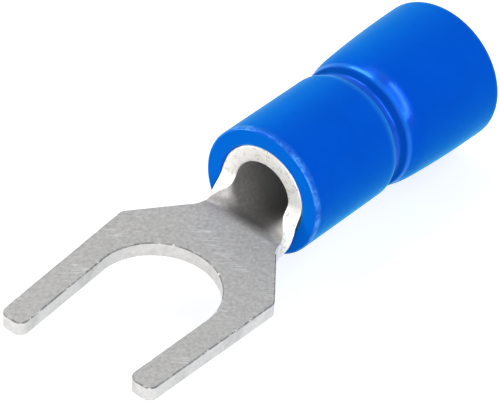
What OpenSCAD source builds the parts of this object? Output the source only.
// Insulated fork terminal: a fork stamped and rolled from one sheet, in a moulded sleeve.
// X runs from the prongs to the wire entry and Z is up from the tongue.
// The origin is the stud's centre on the underside of the tongue.

/* [Fork] */
// Thickness of the sheet
sheet_t = 0.7; // [0.5:0.05:1]
// Width of the stud slot at its round end
slot_w = 5.3; // [4.3:0.1:6.5]
// How much narrower the slot is where its straight sides begin
throat_step = 0.04; // [0.02:0.01:0.2]
// Angle at which each side of the slot closes towards the prong ends
slot_side_angle = 2.6; // [0:0.1:5]
// Width of a prong at the shoulders
prong_w = 1.35; // [1:0.05:2.5]
// Angle at which the outer edge of a prong closes towards its end
prong_side_angle = 3.1; // [0:0.1:4]
// Length of the longer prong, from the stud's centre
prong_len = 5.25; // [4:0.05:8]
// How much shorter the other prong is
prong_short_by = 0.7; // [0:0.05:1]
// Radius of the corners at the prong ends
prong_end_r = 0.4; // [0.1:0.05:0.45]

/* [Shoulders and neck] */
// Distance from the stud's centre back to the shoulder corners
shoulder_x = 2.55; // [1.5:0.05:4]
// Radius of the shoulder corners
shoulder_r = 0.4; // [0.1:0.05:0.8]
// Angle of the slanted shoulders to the length of the part
shoulder_angle = 37.8; // [25:0.1:60]
// Width of the neck in the flat sheet
neck_w = 4; // [3:0.05:5]
// Radius of the round notch that makes the neck
neck_r = 1.05; // [0.7:0.05:1.5]
// Length over which the flat sheet curls up into the barrel
curl_len = 1.3; // [1:0.1:2.5]

/* [Barrel] */
// Bore of the barrel, for the bare conductor
bore_d = 2.7; // [2:0.1:3.6]
// Length of the barrel
barrel_len = 5.5; // [4:0.1:8]
// How far the underside of the barrel lies below the tongue
barrel_drop = 0.45; // [0:0.05:1]
// Lean of the tongue, up from the line of the barrel
tongue_tilt = 3.5; // [0:0.1:6]
// Open width of the butt seam along the top of the barrel
seam_w = 0.06; // [0.02:0.01:0.3]

/* [Sleeve] */
// Clearance all round between the barrel and the sleeve
sleeve_fit = 0.02; // [0.01:0.01:0.05]
// How far the front of the sleeve stands ahead of the barrel's mouth
sleeve_lead = 0.05; // [0:0.01:0.3]
// How far behind the mouth the sleeve's bore starts to flare, to clear the curl of the neck
flare_back = 0.03; // [0.01:0.01:0.2]
// Wall over the barrel
front_wall = 0.77; // [0.7:0.01:1.5]
// Length of the front part, up to the floor of the groove
front_len = 5.6; // [4.5:0.1:8]
// Radius of the front outer edge
front_edge_r = 0.12; // [0.05:0.01:0.2]
// Radius by which the front part rounds down into the groove
front_round = 0.55; // [0.4:0.05:2]
// Wall at the floor of the groove
groove_wall = 0.47; // [0.3:0.01:0.55]
// Width of the groove's floor
groove_w = 0.2; // [0.1:0.05:1]
// Radius at the foot of the rear part, where it rises from the groove
foot_r = 0.42; // [0.3:0.02:0.5]
// Radius of the edge at the top of that rise
rise_edge_r = 0.27; // [0.15:0.01:0.3]
// Radius of the swell that leads from that edge to the bell
swell_r = 5; // [4:0.1:6]
// Length from the groove's floor to where the swell meets the bell
swell_len = 1.55; // [1.3:0.05:2]
// Length of the rear part
rear_len = 6.25; // [4:0.05:10]
// Wall at the rear end
rear_wall = 0.84; // [0.6:0.01:1.5]
// Radius of the long bell curve of the rear part
bell_r = 60; // [40:1:120]
// Radius of the rear outer edge
rear_edge_r = 0.15; // [0.05:0.05:0.3]
// Opening for the wire's insulation
entry_d = 4.7; // [4.3:0.1:6]
// Length of the funnel between the entry and the barrel
funnel_len = 0.6; // [0.3:0.1:1.5]
// Clearance between the end of the barrel and the funnel
barrel_end_gap = 0.1; // [0.05:0.05:0.5]
// Chamfer inside the rear end
entry_chamfer = 0.25; // [0.1:0.05:0.4]

/* [Hidden] */
$fn = 96;

// Fork, in the flat sheet
slot_r = slot_w / 2;
throat_y = slot_r - throat_step / 2;
throat_x = -sqrt(slot_r * slot_r - throat_y * throat_y);
shoulder_y = slot_r + prong_w;
// Half widths of the slot and of the fork at a distance x along the part
function slot_side(x) = throat_y + (x - throat_x) * tan(slot_side_angle);
function prong_side(x) = shoulder_y + (x - shoulder_x) * tan(prong_side_angle);
prong_ends = [-prong_len, prong_short_by - prong_len];

// Neck notch: a circle tangent to the slanted shoulder, ending at the barrel's mouth
notch_y = neck_w / 2 + neck_r;
notch_x = shoulder_x + (neck_r - cos(shoulder_angle) * (notch_y - shoulder_y)) / sin(shoulder_angle);
notch_from_x = notch_x - neck_r * sin(shoulder_angle);
mouth_x = notch_x + neck_r;
curl_x = mouth_x - curl_len;
// Where the flat tongue gives way to the neck
neck_x = min(curl_x, notch_from_x);
function shoulder_line(x) = shoulder_y - (x - shoulder_x) * tan(shoulder_angle);

// Barrel: its frame stands at the mouth, on the axis
bore_r = bore_d / 2;
barrel_r = bore_r + sheet_t;
mid_r = bore_r + sheet_t / 2;
axis_z = barrel_r - barrel_drop;
mouth_low_x = mouth_x - mid_r * sin(tongue_tilt);
mouth_low_z = axis_z - mid_r * cos(tongue_tilt);

// Neck, curled from flat to round in steps
// How deep the ends of the neck sit inside the flat tongue and the barrel wall
weld_len = 0.3;
// How far those ends lie under the surface
weld_inset = 0.01;
line_steps = 3;
notch_steps = 18;
width_steps = 20;

// Sleeve radii and places along the barrel's axis
sleeve_bore_r = barrel_r + sleeve_fit;
front_r = sleeve_bore_r + front_wall;
groove_r = sleeve_bore_r + groove_wall;
entry_r = entry_d / 2;
rear_r = entry_r + rear_wall;
groove_drop = front_r - groove_r;
// Run of the front round along the axis, down to the groove's floor
round_run = sqrt(front_round * front_round - pow(front_round - groove_drop, 2));
round_at = front_len - round_run;
shoulder_at = front_len + groove_w;
sleeve_len = shoulder_at + rear_len;
swell_to = shoulder_at + swell_len;
// Centres of the arcs behind the groove, each [radius, distance from the front]: the bell, the swell
// inside it, the hollow at the foot, and the edge that touches both the swell and the hollow
bell_mid = [rear_r - bell_r, sleeve_len];
swell_turn = asin((sleeve_len - swell_to) / bell_r);
swell_mid = bell_mid + (bell_r - swell_r) * [cos(swell_turn), -sin(swell_turn)];
foot_mid = [groove_r + foot_r, shoulder_at];
from_swell = swell_r - rise_edge_r;
from_foot = foot_r + rise_edge_r;
mid_gap = norm(foot_mid - swell_mid);
edge_share = (from_swell * from_swell - from_foot * from_foot + mid_gap * mid_gap) / (2 * mid_gap);
edge_aside = sqrt(from_swell * from_swell - edge_share * edge_share);
to_foot = (foot_mid - swell_mid) / mid_gap;
edge_mid = swell_mid + edge_share * to_foot + edge_aside * [-to_foot[1], to_foot[0]];
// Where along the sleeve the edge runs into the swell
swell_from = swell_mid[1] + swell_r * (edge_mid - swell_mid)[1] / from_swell;
// How far one of these arcs reaches over the next, so that they cross and don't just touch
arc_bite = 0.001;
flare = sleeve_lead + flare_back;
funnel_at = barrel_len + sleeve_lead + barrel_end_gap;

function unit(v) = v / norm(v);

// What a rounded corner takes away at v, between the edges that run to a and to b
module corner_trim(v, a, b, r) {
    u = unit(a - v);
    w = unit(b - v);
    half = acos(u * w) / 2;
    centre = v + unit(u + w) * r / sin(half);
    difference() {
        polygon([v + u * r / tan(half), v + (v - centre), v + w * r / tan(half), centre]);
        translate(centre) circle(r);
    }
}

// One side of the tongue: a prong, its shoulder and half of the web behind the slot
module half_tongue(end_x) {
    root = [neck_x, shoulder_line(neck_x)];
    corner = [shoulder_x, shoulder_y];
    tip_out = [end_x, prong_side(end_x)];
    tip_in = [end_x, slot_side(end_x)];
    throat = [throat_x, throat_y];
    difference() {
        polygon([[neck_x, 0], root, corner, tip_out, tip_in, throat, [throat_x, 0]]);
        corner_trim(corner, root, tip_out, shoulder_r);
        corner_trim(tip_out, corner, tip_in, prong_end_r);
        corner_trim(tip_in, tip_out, throat, prong_end_r);
    }
}

module tongue() {
    linear_extrude(sheet_t)
        difference() {
            union() {
                half_tongue(prong_ends[0]);
                mirror([0, 1]) half_tongue(prong_ends[1]);
            }
            circle(slot_r);
        }
}

// Neck sheet: stations [distance along the part, half width], on the shoulder line and round the notch
function smooth(u) = u * u * (3 - 2 * u);
line_stations = [for (i = [0 : line_steps - 1])
    let (x = neck_x + (notch_from_x - neck_x) * i / line_steps)
    if (neck_x < notch_from_x) [x, shoulder_line(x)]];
notch_stations = [for (i = [0 : notch_steps])
    let (turn = -shoulder_angle + (90 + shoulder_angle) * i / notch_steps)
    [notch_x + neck_r * sin(turn), notch_y - neck_r * cos(turn)]];
stations = concat(line_stations, notch_stations);

// A point of the curled sheet: distance x along the part, w across it, height d over its middle
function curled(x, w, d) =
    let (
        curl = smooth(max(0, x - curl_x) / curl_len),
        sink = smooth((x - neck_x) / (mouth_x - neck_x)),
        bend = curl / mid_r,
        lean = tongue_tilt * curl,
        low_x = x + (mouth_low_x - mouth_x) * curl,
        barrel_z = mouth_low_z - (low_x - mouth_low_x) * tan(tongue_tilt),
        low_z = (1 - sink) * sheet_t / 2 + sink * barrel_z,
        y = bend < 1e-6 ? w : (1 / bend - d) * sin(bend * w * 180 / PI),
        h = bend < 1e-6 ? d : 1 / bend - (1 / bend - d) * cos(bend * w * 180 / PI)
    )
    [low_x + h * sin(lean), y, low_z + h * cos(lean)];

// One closed section of the sheet, along its underside and back along its top
function section(x, half_w, half_t, along) = [
    for (i = [0 : width_steps])
        curled(x, half_w * (2 * i / width_steps - 1), -half_t) + along,
    for (i = [width_steps : -1 : 0])
        curled(x, half_w * (2 * i / width_steps - 1), half_t) + along
];

module neck() {
    thin = sheet_t / 2 - weld_inset;
    last = len(stations) - 1;
    into_barrel = weld_len * [cos(tongue_tilt), 0, -sin(tongue_tilt)];
    rings = concat(
        [section(neck_x, stations[0][1] - weld_inset, thin, [-weld_len, 0, 0])],
        [for (i = [0 : last])
            section(
                stations[i][0],
                stations[i][1] - (i == 0 ? weld_inset : 0),
                i == 0 || i == last ? thin : sheet_t / 2,
                [0, 0, 0])],
        [section(mouth_x, stations[last][1], thin, into_barrel)]
    );
    n = len(rings[0]);
    end = (len(rings) - 1) * n;
    skin = [for (i = [0 : len(rings) - 2], j = [0 : n - 1])
        let (a = i * n + j, b = i * n + (j + 1) % n)
        each [[a, a + n, b + n], [a, b + n, b]]];
    // The two end faces, as strips between the underside and the top
    caps = [for (j = [0 : width_steps - 1])
        let (low = j, low2 = j + 1, top2 = n - 2 - j, top = n - 1 - j)
        each [
            [low, low2, top2], [low, top2, top],
            [end + low, end + top2, end + low2], [end + low, end + top, end + top2]
        ]];
    polyhedron([for (ring = rings, p = ring) p], concat(skin, caps), convexity = 6);
}

// Stands what is drawn along Z on the axis of the barrel, from its mouth to the rear
module along_barrel() {
    translate([mouth_x, 0, axis_z])
        rotate([0, 90 + tongue_tilt, 0])
            children();
}

module fork_contact() {
    color([0.72, 0.72, 0.71])
        difference() {
            union() {
                tongue();
                neck();
                along_barrel()
                    difference() {
                        cylinder(h = barrel_len, r = barrel_r);
                        translate([-2 * barrel_r, -seam_w / 2, -1])
                            cube([2 * barrel_r, seam_w, barrel_len + 2]);
                    }
            }
            along_barrel() cylinder(h = barrel_len + 1, r = bore_r);
        }
}

// Outside of the sleeve as a half section: radius to the right, distance from its front upwards
module sleeve_outside() {
    difference() {
        union() {
            square([groove_r, sleeve_len]);
            square([front_r, round_at]);
            intersection() {
                square([front_r, front_len]);
                translate([front_r - front_round, round_at]) circle(front_round);
            }
            difference() {
                polygon([[0, shoulder_at], [groove_r, shoulder_at], foot_mid, edge_mid, [0, swell_to]]);
                translate(foot_mid) circle(foot_r + arc_bite);
            }
            translate(edge_mid) circle(rise_edge_r + 2 * arc_bite);
            intersection() {
                translate([0, swell_from]) square([rear_r, swell_mid[1] - swell_from]);
                translate(swell_mid) circle(swell_r + arc_bite, $fn = 360);
            }
            intersection() {
                translate([0, swell_to]) square([rear_r, sleeve_len - swell_to]);
                translate(bell_mid) circle(bell_r, $fn = 1440);
            }
        }
        corner_trim([front_r, 0], [0, 0], [front_r, round_at], front_edge_r);
        corner_trim([rear_r, sleeve_len], [0, sleeve_len], [rear_r, 0], rear_edge_r);
    }
}

module sleeve_inside() {
    polygon([
        [0, 0],
        [sleeve_bore_r + flare, 0],
        [sleeve_bore_r, flare],
        [sleeve_bore_r, funnel_at],
        [entry_r, funnel_at + funnel_len],
        [entry_r, sleeve_len - entry_chamfer],
        [entry_r + entry_chamfer, sleeve_len],
        [0, sleeve_len]
    ]);
}

module insulating_sleeve() {
    color([0.02, 0.33, 0.84])
        along_barrel()
            translate([0, 0, -sleeve_lead])
                rotate_extrude()
                    difference() {
                        sleeve_outside();
                        sleeve_inside();
                    }
}

fork_contact();
insulating_sleeve();
